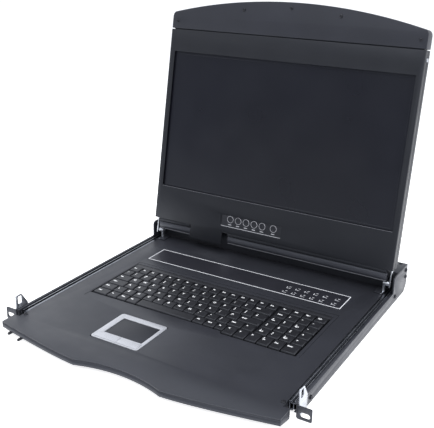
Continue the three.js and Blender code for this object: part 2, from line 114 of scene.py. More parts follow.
def add_sweep():
    """A white sweep overhead and behind, dimmer low down on the camera's side."""
    world = bpy.data.worlds.new("studio")
    world.use_nodes = True
    tree = world.node_tree
    sky = tree.nodes["Background"]
    direction = add_node(tree, "ShaderNodeTexCoord")
    height = add_node(
        tree,
        "ShaderNodeVectorMath",
        {0: direction.outputs["Generated"], 1: BRIGHT_SIDE},
        operation="DOT_PRODUCT",
    )
    sweep = add_node(
        tree,
        "ShaderNodeMapRange",
        {
            "Value": height.outputs["Value"],
            "From Min": -0.95,
            "From Max": 0.25,
            "To Min": 0.2,
            "To Max": 1.05,
        },
    )
    tree.links.new(sweep.outputs["Result"], sky.inputs["Strength"])
    sky.inputs["Color"].default_value = (0.93, 0.955, 1.0, 1)
    bpy.context.scene.world = world


def add_studio():
    """The sweep, a large softbox overhead and three smaller ones, and the floor."""
    add_sweep()
    add_softbox("top_softbox", (-0.4, -0.3, 2.2), (0, 0, 0.1), (2.2, 1.4), 24)
    add_softbox("front_softbox", (0.3, -1.7, 1.9), (0, 0.1, 0.1), (1.6, 1.0), 9)
    add_softbox("right_softbox", (2.0, 0.4, 0.7), (0.1, 0, 0.15), (1.6, 1.2), 14)
    add_softbox("left_softbox", (-2.1, 0.9, 0.9), (0, 0, 0.1), (1.6, 1.4), 4)
    add_floor()
    bpy.context.scene.view_settings.view_transform = "Standard"


def add_floor():
    """White paper with a painted glow, strongest under and around the drawer and none in front, that lifts the
    drawer's shadow.
    """
    paper = new_finish("floor_paper_painted_glow", "#f6f6f7", 0.8)
    paper.node_tree.nodes["Principled BSDF"].inputs["Emission Color"].default_value = (1, 1, 1, 1)
    place = add_node(paper.node_tree, "ShaderNodeTexCoord")
    axes = add_node(paper.node_tree, "ShaderNodeSeparateXYZ", {"Vector": place.outputs["Object"]})
    depth = add_node(
        paper.node_tree,
        "ShaderNodeMapRange",
        {"Value": axes.outputs["Y"], "From Min": -FLOOR_PAINTED_GLOW_REACH, "From Max": FLOOR_PAINTED_GLOW_REACH},
    )
    # The emission is painted glow, not a lamp: it lifts the contact shadow and brightens what the side plates
    # reflect.
    drive(paper, "Emission Strength", add_ramp(paper, depth.outputs["Result"], FLOOR_PAINTED_GLOW))
    bpy.ops.mesh.primitive_plane_add(size=40, location=(0, 0, -0.0003))
    floor = bpy.context.object
    floor.name = "floor"
    floor.data.materials.append(paper)


# ---------------------------------------------------------------- finishes


def linear(colour):
    """The linear red, green, blue and alpha of an sRGB hex colour."""
    channels = [int(colour[i : i + 2], 16) / 255 for i in (1, 3, 5)]
    return [c / 12.92 if c <= 0.04045 else ((c + 0.055) / 1.055) ** 2.4 for c in channels] + [1]


def per(size_mm):
    """The texture scale that gives a pattern this size in millimetres."""
    return 1 / (size_mm * MM)


def add_node(tree, kind, sockets=None, **settings):
    """Adds a node. A socket's value is a constant, or another node's output to link."""
    made = tree.nodes.new(kind)
    for name, value in settings.items():
        setattr(made, name, value)
    for name, value in (sockets or {}).items():
        if isinstance(value, bpy.types.NodeSocket):
            tree.links.new(value, made.inputs[name])
        else:
            made.inputs[name].default_value = value
    return made


def new_finish(name, colour, roughness, **sockets):
    """A material whose shader has these constants."""
    finish = bpy.data.materials.new(name)
    finish.use_nodes = True
    shader = finish.node_tree.nodes["Principled BSDF"]
    shader.inputs["Base Color"].default_value = linear(colour)
    shader.inputs["Roughness"].default_value = roughness
    for socket, value in sockets.items():
        shader.inputs[socket.replace("_", " ")].default_value = value
    finish.diffuse_color = linear(colour)
    return finish


def drive(finish, socket, output):
    """Links a node's output to one of the shader's sockets."""
    shader = finish.node_tree.nodes["Principled BSDF"]
    finish.node_tree.links.new(output, shader.inputs[socket])


def noise(finish, size_mm, detail=2.0, stretch=(1, 1, 1)):
    """Noise on Object coordinates, drawn out along an axis by a stretch under 1."""
    tree = finish.node_tree
    place = add_node(tree, "ShaderNodeTexCoord")
    mapping = add_node(
        tree, "ShaderNodeMapping", {"Vector": place.outputs["Object"], "Scale": stretch}
    )
    return add_node(
        tree,
        "ShaderNodeTexNoise",
        {"Vector": mapping.outputs["Vector"], "Scale": per(size_mm), "Detail": detail},
    ).outputs["Fac"]


def add_ramp(finish, amount, stops):
    """A colour that goes through these stops, each a position and a hex colour."""
    ramp = add_node(finish.node_tree, "ShaderNodeValToRGB", {"Fac": amount})
    elements = ramp.color_ramp.elements
    while len(elements) < len(stops):
        elements.new(0.5)
    for element, (position, colour) in zip(elements, stops):
        element.position = position
        element.color = linear(colour)
    return ramp.outputs["Color"]


def vary_colour(finish, amount, low, high):
    """The base colour wanders between two hex colours with a pattern."""
    drive(finish, "Base Color", add_ramp(finish, amount, ((0.3, low), (0.7, high))))


def vary_roughness(finish, amount, low, high):
    """The roughness wanders between two values with a pattern."""
    spread = add_node(
        finish.node_tree,
        "ShaderNodeMapRange",
        {"Value": amount, "From Min": 0.3, "From Max": 0.7, "To Min": low, "To Max": high},
    )
    drive(finish, "Roughness", spread.outputs["Result"])


def emboss(finish, height, depth_mm):
    """Raises the surface by a pattern, to a depth in millimetres."""
    bump = add_node(
        finish.node_tree, "ShaderNodeBump", {"Height": height, "Distance": depth_mm * MM}
    )
    drive(finish, "Normal", bump.outputs["Normal"])


COOL = (0.84, 0.89, 1.0, 1)  # the dark finishes reflect a little bluer than they are lit


def powder_coated_steel(name, low, high, roughness, ior=1.5):
    """Polyester powder over sheet steel: satin, with the orange peel of the baked film.
    The peel is 0.8 mm across on the real coat and is drawn at 2 mm, so that it shows."""
    finish = new_finish(name, low, roughness, IOR=ior, Specular_Tint=COOL)
    vary_colour(finish, noise(finish, 70, 3), low, high)
    vary_roughness(finish, noise(finish, 28, 3), roughness - 0.04, roughness + 0.04)
    emboss(finish, noise(finish, 2.0, 1.5), 0.02)
    return finish


def zinc_plated_steel(name, low, high):
    """Zinc over cold-rolled strip: a cool metal with faint rolling lines."""
    finish = new_finish(name, low, 0.3, Metallic=1.0)
    lines = noise(finish, 1.2, 2, (1, 0.04, 1))
    vary_colour(finish, lines, low, high)
    vary_roughness(finish, noise(finish, 9, 2), 0.24, 0.38)
    emboss(finish, lines, 0.01)
    return finish


def nickel_plated_shell():
    """Stamped connector shells: warmer and smoother than the zinc."""
    finish = new_finish("nickel_plated_shell", "#c9c5bc", 0.22, Metallic=1.0)
    vary_roughness(finish, noise(finish, 3, 2), 0.18, 0.3)
    return finish


def black_oxide_screw():
    """Blackened screws: a dark metal that still catches a highlight on its rim."""
    finish = new_finish("black_oxide_screw", "#35363b", 0.32, Metallic=0.8)
    vary_roughness(finish, noise(finish, 1.5, 2), 0.28, 0.42)
    return finish


def moulded_abs(name, low, high, roughness, grain_mm):
    """ABS from a spark-eroded mould: an even dull grain. Real grain is near 0.1 mm."""
    finish = new_finish(name, low, roughness, IOR=1.5, Specular_Tint=COOL)
    vary_colour(finish, noise(finish, 14, 2), low, high)
    emboss(finish, noise(finish, grain_mm, 2), 0.012)
    return finish


def silver_painted_abs():
    """Silver lacquer on ABS: fine flakes under a thin clear layer."""
    finish = new_finish("silver_painted_abs", "#b4b6bd", 0.36, Metallic=0.35, Coat_Weight=0.2)
    place = add_node(finish.node_tree, "ShaderNodeTexCoord")
    flakes = add_node(
        finish.node_tree,
        "ShaderNodeTexVoronoi",
        {"Vector": place.outputs["Object"], "Scale": per(0.7)},
    )
    vary_colour(finish, flakes.outputs["Distance"], "#bec0c6", "#adafb6")
    return finish


def textured_pad_film():
    """The touchpad's hard-coated film: even dark grey with a fine tooth for the fingertip."""
    finish = new_finish("textured_pad_film", "#212227", 0.5, IOR=1.45, Specular_Tint=COOL)
    vary_colour(finish, noise(finish, 1.0, 3), "#1e1f24", "#25262b")
    emboss(finish, noise(finish, 0.8, 2), 0.01)
    return finish


def printed_overlay_film():
    """Polyester overlay printed dark from behind: smooth, a little glossier than the deck."""
    finish = new_finish("printed_overlay_film", "#232329", 0.3, IOR=1.55, Specular_Tint=COOL)
    vary_colour(finish, noise(finish, 40, 2), "#212127", "#27272d")
    vary_roughness(finish, noise(finish, 6, 2), 0.28, 0.34)
    return finish


def anti_glare_screen():
    """A liquid crystal panel that is off: nearly black, under an etched film that blurs light."""
    finish = new_finish("anti_glare_screen", "#13141a", 0.32, IOR=1.4, Specular_Tint=COOL)
    vary_colour(finish, noise(finish, 260, 1), "#11121a", "#15151a")
    vary_roughness(finish, noise(finish, 60, 1), 0.27, 0.33)
    emboss(finish, noise(finish, 1.0, 2), 0.003)
    return finish


def screen_printed_ink(name, colour):
    """Opaque ink: matt, slightly uneven where the mesh laid it down."""
    finish = new_finish(name, colour, 0.55)
    vary_roughness(finish, noise(finish, 0.6, 2), 0.5, 0.62)
    return finish


def solder_mask_board():
    """Green solder mask with the darker web of tracks under it."""
    finish = new_finish("solder_mask_board", "#17492f", 0.38)
    place = add_node(finish.node_tree, "ShaderNodeTexCoord")
    tracks = add_node(
        finish.node_tree,
        "ShaderNodeTexVoronoi",
        {"Vector": place.outputs["Object"], "Scale": per(5)},
        feature="DISTANCE_TO_EDGE",
        distance="CHEBYCHEV",
    )
    vary_colour(finish, tracks.outputs["Distance"], "#0f3421", "#1d5738")
    return finish


def make_finishes():
    """Every finish by its short name, with the record's slot it belongs to."""
    return {
        "steel": (
            powder_coated_steel("powder_coated_steel", "#25262b", "#2a2b31", 0.42),
            "satin_black_steel",
        ),
        # A darker copy of the same black steel for the display: painted shade on its front and sides.
        "display_steel_painted_shade": (
            powder_coated_steel("powder_coated_display_painted_shade", "#191a1e", "#1d1e22", 0.44, 1.4),
            "satin_black_steel",
        ),
        # A copy lighter than the display's, for the cap: painted light on the display's top.
        "cap_steel_painted_light": (
            powder_coated_steel("powder_coated_cap_painted_light", "#26272c", "#2a2b31", 0.45, 1.4),
            "satin_black_steel",
        ),
        # A lighter copy of the black steel for the hinge covers: a painted highlight along their rounded bars.
        "cover_steel_painted_highlight": (
            powder_coated_steel("powder_coated_hinge_cover_painted_highlight", "#34353b", "#3a3b41", 0.38),
            "satin_black_steel",
        ),
        "zinc": (zinc_plated_steel("zinc_plated_steel", "#a2a6ad", "#c2c5cb"), "zinc_steel"),
        # A darker copy of the zinc for the slides: painted shade where they lie under the deck's edges.
        "slide_zinc_painted_shade": (zinc_plated_steel("zinc_slide_painted_shade", "#555860", "#6a6d75"), "zinc_steel"),
        "nickel": (nickel_plated_shell(), "connector_metal"),
        "screw": (black_oxide_screw(), "satin_black_steel"),
        "plastic": (moulded_abs("moulded_black_abs", "#1a1a1e", "#202024", 0.5, 0.9), "black_plastic"),
        # A pale grey used only for thin strips that are painted highlights on edges.
        "highlight_grey": (moulded_abs("moulded_grey_painted_highlight", "#6a6b71", "#74757b", 0.5, 0.9), "black_plastic"),
        "keys": (moulded_abs("moulded_key_abs", "#151518", "#1a1a1e", 0.42, 1.1), "key_plastic"),
        "silver": (silver_painted_abs(), "silver_plastic"),
        "pad": (textured_pad_film(), "touchpad_pad"),
        "film": (printed_overlay_film(), "overlay_film"),
        "screen": (anti_glare_screen(), "screen_glass"),
        "white_ink": (screen_printed_ink("white_key_ink", "#f4f5f7"), "key_plastic"),
        "silver_ink": (screen_printed_ink("silver_line_ink", "#d6d7dc"), "overlay_film"),
        # Grey print for the buttons' rings and labels, also used for one painted highlight.
        "grey_ink_and_highlight": (screen_printed_ink("grey_mark_ink_and_highlight", "#c3c4ca"), "black_plastic"),
        "board": (solder_mask_board(), "circuit_board"),
    }


# ---------------------------------------------------------------- bench work


def pick(*pieces):
    """Selects only these pieces, the first one active."""
    bpy.ops.object.select_all(action="DESELECT")
    for piece in pieces:
        piece.select_set(True)
    bpy.context.view_layer.objects.active = pieces[0]


@contextmanager
def editing(piece):
    """Edit mode on one piece, faces as the selection's kind, nothing selected."""
    pick(piece)
    bpy.ops.object.mode_set(mode="EDIT")
    bpy.ops.mesh.select_mode(type="FACE")
    bpy.ops.mesh.select_all(action="DESELECT")
    yield
    bpy.ops.object.mode_set(mode="OBJECT")


def choose_faces(piece, test):
    """Selects the faces whose middle (in millimetres) and normal pass the test."""
    shape = bmesh.from_edit_mesh(piece.data)
    for face in shape.faces:
        if test(face.calc_center_median() / MM, face.normal):
            face.select_set(True)
    bmesh.update_edit_mesh(piece.data)


def settle(name):
    """Names the new object and puts its place into its mesh."""
    piece = bpy.context.object
    bpy.ops.object.transform_apply(location=True, rotation=True, scale=True)
    piece.name = name
    return piece


def block(name, x, y, z):
    """A block between two limits per axis, in millimetres."""
    spans = (x, y, z)
    middle = [(low + high) / 2 * MM for low, high in spans]
    size = [abs(high - low) * MM for low, high in spans]
    bpy.ops.object.select_all(action="DESELECT")
    bpy.ops.mesh.primitive_cube_add(size=1, location=middle, scale=size)
    return settle(name)


AXIS_TURN = {"x": (0, math.pi / 2, 0), "y": (math.pi / 2, 0, 0), "z": (0, 0, 0)}


def rod(name, radius, length, middle, axis="z", sides=32):
    """A round bar along an axis, about its middle, in millimetres."""
    bpy.ops.object.select_all(action="DESELECT")
    bpy.ops.mesh.primitive_cylinder_add(
        vertices=sides,
        radius=radius * MM,
        depth=length * MM,
        location=[v * MM for v in middle],
        rotation=AXIS_TURN[axis],
    )
    return settle(name)


def round_edges(piece, radius, segments=2, angle=30):
    """Rounds every edge sharper than the angle and smooths what is left of it."""
    bevel = piece.modifiers.new("edge", "BEVEL")
    bevel.width = radius * MM
    bevel.segments = segments
    bevel.limit_method = "ANGLE"
    bevel.angle_limit = math.radians(angle)
    pick(piece)
    bpy.ops.object.modifier_apply(modifier=bevel.name)
    bpy.ops.object.shade_smooth_by_angle(angle=math.radians(35))
    return piece


def carve(piece, *cutters):
    """Takes the cutters' shapes out of a piece."""
    for cutter in cutters:
        cut = piece.modifiers.new("cut", "BOOLEAN")
        cut.operation = "DIFFERENCE"
        cut.solver = "EXACT"
        cut.object = cutter
        pick(piece)
        bpy.ops.object.modifier_apply(modifier=cut.name)
        bpy.data.objects.remove(cutter)
    return piece


def join(name, pieces):
    """Makes one object of several."""
    pick(*pieces)
    if len(pieces) > 1:
        bpy.ops.object.join()
    pieces[0].name = name
    return pieces[0]


def repeat(pattern, name, placements):
    """Copies a pattern piece to every placement, each copy with its own mesh, as one object."""
    made = []
    for placement in placements:
        copy = bpy.data.objects.new(name, pattern.data.copy())
        copy.data.transform(placement)
        bpy.context.scene.collection.objects.link(copy)
        made.append(copy)
    bpy.data.objects.remove(pattern)
    return join(name, made)


def limits(node):
    """The two far corners of a CAD node, in millimetres."""
    return tuple(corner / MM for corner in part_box(node))


def at(x, y, z):
    """A placement this far from the origin, in millimetres."""
    return Matrix.Translation(Vector((x, y, z)) * MM)


def blank_from(node, name):
    """A copy of a CAD solid with its flat faces made whole, ready for shaping."""
    piece = bpy.data.objects.new(name, frame["nodes"][node].data.copy())
    bpy.context.scene.collection.objects.link(piece)
    piece.data.materials.clear()
    with editing(piece):
        bpy.ops.mesh.select_all(action="SELECT")
        bpy.ops.mesh.remove_doubles(threshold=0.00001)
        bpy.ops.mesh.dissolve_limited(angle_limit=math.radians(0.5))
    return piece


def lean_back(piece):
    """Takes a piece from the display's own frame into the drawer's."""
    piece.data.transform(Matrix.Translation(HINGE) @ Matrix.Rotation(-LEAN, 4, "X"))
    return piece


def dress(piece, body, finish, *nodes):
    """Gives a piece its finish and its body, and hides the CAD nodes that it stands for."""
    material, slot = FINISHES[finish]
    piece.data.materials.clear()
    piece.data.materials.append(material)
    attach(piece, body)
    if nodes:
        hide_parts(*nodes)
    return piece


def coat(node, finish):
    """Puts a finish on a CAD node that keeps its own shape."""
    material, slot = FINISHES[finish]
    piece = frame["nodes"][node]
    piece.data.materials.clear()
    piece.data.materials.append(material)


def formed(node, finish, radius=0.5, segments=2):
    """The CAD solid with rounded edges."""
    piece = round_edges(blank_from(node, f"{node}_formed"), radius, segments)
    return dress(piece, BODY_OF[node], finish, node)


def screw_head(radius, height):
    """A pan head with a cross recess, standing on the origin along Z."""
    head = rod("screw_pattern", radius, height, (0, 0, height / 2), sides=20)
    with editing(head):
        choose_faces(head, lambda middle, normal: normal.z > 0.9)
        bpy.ops.mesh.inset(thickness=radius * 0.28 * MM, depth=height * 0.3 * MM)
    long = (-radius * 0.5, radius * 0.5)
    thin = (-0.13 * radius, 0.13 * radius)
    deep = (height * 0.7, 9)
    carve(head, block("arm_across", long, thin, deep), block("arm_along", thin, long, deep))
    return round_edges(head, radius * 0.05, 1)


def screws(name, body, radius, height, placements):
    """Blackened screws at these placements, as one piece."""
    return dress(repeat(screw_head(radius, height), name, placements), body, "screw")


# ---------------------------------------------------------------- chassis


# Turns for screw heads, which are made standing up.
FACE_OUT = {-1: Matrix.Rotation(-math.pi / 2, 4, "Y"), 1: Matrix.Rotation(math.pi / 2, 4, "Y")}
FACE_FRONT = Matrix.Rotation(math.pi / 2, 4, "X")
FACE_REAR = Matrix.Rotation(-math.pi / 2, 4, "X")
SIDE_SCREWS = ((71, 7), (381, 9.6), (427, 36), (427, 25))  # back from the palm rest, and up
SLIDE_HIGHLIGHTS = {"inner": 210.3, "outer": 215.1}  # the near side of each painted highlight along a rolled edge
SLIDE_HIGHLIGHT_WIDTH = 0.9


def side_plates():
    """The chassis' folded sides, each with one screw near the ear and three at the switch box."""
    for word, side in SIDES:
        formed(f"side_plate_{word}", "steel", 0.4)
        low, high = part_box(f"side_plate_{word}")
        outer = (low.x if side < 0 else high.x) / MM
        placements = [at(outer, y - FRAME_Y, z) @ FACE_OUT[side] for y, z in SIDE_SCREWS]
        screws(f"side_screws_{word}", "chassis", 3.0, 1.5, placements)


def ears_and_strikers():
    """The painted rack ears, and the bright tabs with the slots for the display's bolts."""
    for word, _ in SIDES:
        formed(f"rack_ear_{word}", "steel", 0.4)
        formed(f"latch_striker_{word}", "zinc", 0.3)


def slides():
    """Slide members in a zinc darkened as painted shade under the deck's edge, the outer and inner ones with
    bright zinc strips on their rolled edges as painted highlights.
    """
    for word, side in SIDES:
        for member in ("outer", "middle", "inner"):
            formed(f"slide_{member}_{word}", "slide_zinc_painted_shade", 0.25, 1)
        for member, near in SLIDE_HIGHLIGHTS.items():
            node = f"slide_{member}_{word}"
            low, high = limits(node)
            # A bright zinc strip on the flange's top: a painted highlight.
            edge = block(
                f"{node}_edge",
                sorted((side * near, side * (near + SLIDE_HIGHLIGHT_WIDTH))),
                (low.y + 0.6, high.y - 0.6),
                (high.z - 0.4, high.z + 0.08),
            )
            dress(round_edges(edge, 0.07, 1), BODY_OF[node], "zinc")


def rear_box():
    """The switch box across the back: its base, a cover with two rows of vents, the rear panel."""
    formed("rear_case_base", "steel", 0.3)
    cover = round_edges(blank_from("rear_case_cover", "rear_cover_vented"), 0.3)
    low, high = limits("rear_case_cover")
    slot = block("vent_pattern", (-1.2, 1.2), (-9, 9), (-5, 5))
    middle_y = (low.y + high.y) / 2
    placements = [at(sign * (70 + 6 * i), middle_y, high.z) for i in range(15) for sign in (-1, 1)]
    carve(cover, repeat(slot, "vent_slots", placements))
    dress(cover, "chassis", "steel", "rear_case_cover")
    places = [(x, high.y - 5) for x in (low.x + 8, -60, 60, high.x - 8)]
    screws("cover_screws", "chassis", 2.6, 1.2, [at(x, y, high.z - 0.9) for x, y in places])
    formed("rear_panel", "steel", 0.2, 1)


# ---------------------------------------------------------------- rear connectors


PORT_PITCH = 33
PORT_FIRST = -88
PORT_Z = 24
PORT_FLANGE = 211.0  # rear of the strip that the shells stand on
SHELL = (431, 440)  # front and rear of a shell, back from the palm rest
ROCKER_FACE = 434.6  # back from the palm rest


def d_shape(name, half, tall, y):
    """A D-shaped plug body between two depths: a block with its lower edge drawn in."""
    body = block(name, (-half, half), y, (PORT_Z - tall, PORT_Z + tall))
    for vertex in body.data.vertices:
        if vertex.co.z < PORT_Z * MM:
            vertex.co.x -= math.copysign(1.4 * MM, vertex.co.x)
    return body


def port_places():
    """Eight ports in a row, from parts drawn back from the palm rest."""
    return [at(PORT_FIRST + PORT_PITCH * index, -FRAME_Y, 0) for index in range(8)]


def rear_ports():
    """Eight fifteen-way sockets: pressed shells, black inserts, pins and hexagon posts."""
    shell = round_edges(d_shape("shell_pattern", 8.2, 4, SHELL), 0.8)
    carve(shell, d_shape("pocket", 7.5, 3.3, (434.5, 441)))
    shells = repeat(shell, "port_shells", port_places())
    low, high = limits("port_connectors")
    strip = block("port_strip", (low.x, high.x), (low.y, PORT_FLANGE), (low.z, high.z))
    shells = join("port_shells", [shells, round_edges(strip, 0.4)])
    dress(shells, "chassis", "nickel", "port_connectors")
    insert = round_edges(d_shape("insert_pattern", 7.1, 2.9, (434.6, 437.4)), 0.2, 1)
    dress(repeat(insert, "port_inserts", port_places()), "chassis", "plastic")
    pin = rod("pin_pattern", 0.4, 2.4, (0, 438, 0), "y", 10)
    rows = ((2, 0), (0, -1.1), (-2, 0))
    spots = [(x + shift, z) for z, shift in rows for x in (-4.4, -2.2, 0, 2.2, 4.4)]
    pins = repeat(pin, "pin_group", [at(x, 0, PORT_Z + z) for x, z in spots])
    dress(repeat(pins, "port_pins", port_places()), "chassis", "nickel")
    post = rod("post_pattern", 2.6, 4.6, (0, 436.3, PORT_Z), "y", 6)
    with editing(post):
        choose_faces(post, lambda middle, normal: normal.y > 0.9)
        bpy.ops.mesh.inset(thickness=1.1 * MM, depth=-3 * MM)
    pair = repeat(round_edges(post, 0.15, 1), "post_pair", [at(-12.5, 0, 0), at(12.5, 0, 0)])
    dress(repeat(pair, "port_posts", port_places()), "chassis", "nickel")


def power_entry():
    """The mains inlet with its three blades, and the rocker with a line for on."""
    formed("power_inlet", "plastic", 0.4)
    low, high = limits("power_inlet")
    x, z = (low.x + high.x) / 2, (low.z + high.z) / 2
    spots = ((x, z + 3), (x - 7, z - 2.5), (x + 7, z - 2.5))
    blade = round_edges(block("blade_pattern", (-1, 1), (199.5, 212), (-2, 2)), 0.4, 1)
    dress(repeat(blade, "inlet_blades", [at(a, 0, b) for a, b in spots]), "chassis", "nickel")
    formed("power_rocker", "plastic", 0.4)
    rocker_low, rocker_high = limits("power_rocker")
    middle = (rocker_low.x + rocker_high.x) / 2
    face = ROCKER_FACE - FRAME_Y
    width = (middle - 0.4, middle + 0.4)
    mark = block("rocker_mark", width, (face - 0.1, face + 0.04), (z - 6.5, z - 2.5))
    dress(mark, "power_rocker", "white_ink")


# ---------------------------------------------------------------- tray


GROOVE = (DECK_TOP - 1.8, DECK_TOP - 1.1)
LIP_HALF = 216.5  # past this half width a side face of the deck belongs to the palm rest
KEY_LINES = (
    ((-174.6, -173.8), (125, 266)),
    ((177.6, 178.4), (131, 266)),
    ((-174.6, 178.4), (265.2, 266)),
)
DECK_SCREWS = ((-204, 33), (204, 33))  # across, and back from the palm rest
HINGE_FOOT = (194, 203.4)  # the near and far side of a bracket's foot
FOOT_THICKNESS = 1.8
BEZEL_CORNER = 4.5


def on_lip_edge(middle, normal):
    """True for a face of the groove's band that looks out to the front or to a side."""
    in_band = GROOVE[0] < middle.z < GROOVE[1]
    front = normal.y < -0.25 and middle.y < 1 - FRAME_Y
    return in_band and (front or (abs(normal.x) > 0.9 and abs(middle.x) > LIP_HALF))


def tray_deck():
    """The folded deck: a shadow groove under the palm rest's edge, and lines round the keys."""
    deck = round_edges(blank_from("tray_deck", "tray_deck_formed"), 0.9, 3)
    with editing(deck):
        for height in GROOVE:
            bpy.ops.mesh.select_all(action="SELECT")
            bpy.ops.mesh.bisect(plane_co=(0, 0, height * MM), plane_no=(0, 0, 1))
        bpy.ops.mesh.select_all(action="DESELECT")
        choose_faces(deck, on_lip_edge)
        bpy.ops.mesh.inset(thickness=0.05 * MM, depth=-1.3 * MM)
    for x, (front, back) in KEY_LINES:
        y = (front - FRAME_Y, back - FRAME_Y)
        carve(deck, block("line", x, y, (DECK_TOP - 0.6, DECK_TOP + 1)))
    dress(deck, "drawer", "steel", "tray_deck")
    places = [at(x, y - FRAME_Y, DECK_TOP - 0.2) for x, y in DECK_SCREWS]
    screws("deck_screws", "drawer", 3.2, 0.8, places)


def tray_underneath():
    """The pan, the palm rest's underside, the release lever and the hinge brackets."""
    formed("tray_pan", "steel", 0.8)
    formed("palm_rest_base", "steel", 0.2, 1)
    formed("release_lever", "plastic", 0.6)
    for word, side in SIDES:
        hinge_bracket(word, side)


def hinge_bracket(word, side):
    """A bright barrel on an upright, whose painted foot is screwed down on the deck."""
    node = f"hinge_bracket_{word}"
    low, high = limits(node)
    foot_top = DECK_TOP + FOOT_THICKNESS
    foot_x = sorted(side * x for x in HINGE_FOOT)
    upright = blank_from(node, f"hinge_barrel_{word}")
    carve(upright, block("foot", foot_x, (low.y - 1, high.y + 1), (low.z - 1, foot_top + 0.1)))
    dress(round_edges(upright, 0.3), BODY_OF[node], "zinc", node)
    foot = block(f"hinge_foot_{word}", foot_x, (low.y, high.y), (low.z, foot_top))
    dress(round_edges(foot, 0.3), BODY_OF[node], "steel")


def round_uprights(piece, radius):
    """Rounds a block's four upright edges."""
    with editing(piece):
        bpy.ops.mesh.select_mode(type="EDGE")
        shape = bmesh.from_edit_mesh(piece.data)
        for edge in shape.edges:
            first, second = edge.verts
            edge.select_set(abs(first.co.z - second.co.z) > 0.5 * MM)
        bmesh.update_edit_mesh(piece.data)
        bpy.ops.mesh.bevel(offset=radius * MM, segments=6)


def window(node, gap):
    """A cutter that clears a CAD node by a gap on every side."""
    low, high = limits(node)
    x, y, z = ((a - gap, b + gap) for a, b in zip(low, high))
    return block("window", x, y, (z[0] - 2, z[1] + 2))


def touchpad():
    """The silver bezel with round corners, the pad and the two buttons."""
    low, high = limits("touchpad_bezel")
    bezel = block("touchpad_bezel_rounded", *zip(low, high))
    round_uprights(bezel, BEZEL_CORNER)
    carve(bezel, window("touchpad_surface", 0.3))
    for word, _ in SIDES:
        carve(bezel, window(f"touchpad_button_{word}", 0.35))
    dress(round_edges(bezel, 0.5, 3), "drawer", "silver", "touchpad_bezel")
    formed("touchpad_surface", "pad", 0.3)
    for word, _ in SIDES:
        formed(f"touchpad_button_{word}", "silver", 0.5, 3)


def line_frame(name, x, y, z, width, thickness):
    """A flat frame of thin lines, as printed or laid into a surface."""
    plate = block(name, x, y, (z, z + thickness))
    with editing(plate):
        choose_faces(plate, lambda middle, normal: abs(normal.z) > 0.9)
        bpy.ops.mesh.inset(thickness=width * MM)
        bpy.ops.mesh.bridge_edge_loops()
    return plate


STRIP_BORDER = 1.5
MARK_COLUMNS = (77, 92, 107, 122, 137.5, 157)
MARK_ROWS = (311, 295.5)  # back from the palm rest


def strip_mark(x, y, z):
    """A plain corner and a dash, in place of a symbol."""
    bars = (
        ((x - 3.4, x + 3.4), (y - 3.4, y - 2.5)),
        ((x - 3.4, x - 2.5), (y - 2.5, y + 1.4)),
        ((x - 0.6, x + 3.0), (y + 2.2, y + 3.2)),
    )
    return [block("mark", width, depth, z) for width, depth in bars]


def control_strip():
    """The overlay film with its silver border and two rows of marks."""
    formed("control_strip", "film", 0.15, 1)
    low, high = limits("control_strip")
    top = high.z
    x, y = (low.x, high.x), (low.y, high.y)
    border = line_frame("strip_border", x, y, top - 0.02, STRIP_BORDER, 0.12)
    dress(border, "drawer", "silver_ink")
    marks = []
    for x in MARK_COLUMNS:
        for y in MARK_ROWS:
            marks += strip_mark(x, y - FRAME_Y, (top - 0.02, top + 0.04))
    dress(join("strip_marks", marks), "drawer", "silver_ink")


# ---------------------------------------------------------------- keyboard


KEY_PITCH = 18.2
CAP_GAP = 0.9
CAP_HEIGHT = 4.12
ARROW_STEP = 5.5  # the arrow and number keys of the front row reach forward
LETTER_SIZE = 5.6
WORD_SIZE = 3.5
LEGEND_LEFT = 3.9  # from a cap's left edge
LEGEND_DOWN = 7.4  # from a cap's rear edge
SECOND_LINE = 1.6  # how much further back a legend of two lines starts


def keys_of(legends, width=1.0):
    """A run of caps of one width, one for each legend."""
    return [(legend, width) for legend in legends.split()]


# Each row's caps: a legend, and a width in key pitches. A bar starts a legend's second line,
# and a legend of None is a gap.
NUMBER_PAD_GAP = (None, 0.2)
KEY_ROWS = {
    "keys_bottom_left": [("Ctrl", 1.4), ("Fn", 1), ("Win", 0.95), ("Alt", 1.05)],
    "key_space": [("", 5.35)],
    "keys_bottom_right": [
        ("Alt", 1),
        ("Ctrl", 1),
        ("Fn", 0.8),
        *keys_of("< v > 0|Ins .|Del"),
        ("Enter", 1.2),
    ],
    "keys_shift_row": [
        ("Shift", 1.3),
        *keys_of("\\ Z X C V B N M <|, >|. ?|/"),
        ("Shift", 1.25),
        ("^", 1),
        NUMBER_PAD_GAP,
        *keys_of("1|End 2|v 3|PgD +"),
    ],
    "keys_home_row": [
        ("Caps", 1.65),
        *keys_of("A S D F G H J K L :|; @|'"),
        ("Enter", 1.9),
        NUMBER_PAD_GAP,
        *keys_of("4|< 5 6|> +"),
    ],
    "keys_upper_row": [
        ("Tab", 1.4),
        *keys_of("Q W E R T Y U I O P {|[ }|]"),
        ("~|#", 1.15),
        NUMBER_PAD_GAP,
        *keys_of("7|Hm 8|^ 9|PgU -"),
    ],
    "keys_number_row": [
        ("~|`", 0.85),
        *keys_of("!|1 @|2 #|3 $|4 %|5 ^|6 &|7 *|8 (|9 )|0 _|- +|="),
        ("Back", 1.7),
        NUMBER_PAD_GAP,
        *keys_of("Num / * -"),
    ],
    "keys_function_row": [
        ("Esc", 1),
        *keys_of("F1 F2 F3 F4 F5 F6 F7 F8 F9 F10 F11 F12 Prt Scr Brk", 0.9),
        (None, 0.25),
        *keys_of("Ins Del PgU PgD"),
    ],
}
FORWARD_FROM = {"keys_bottom_right": 3}


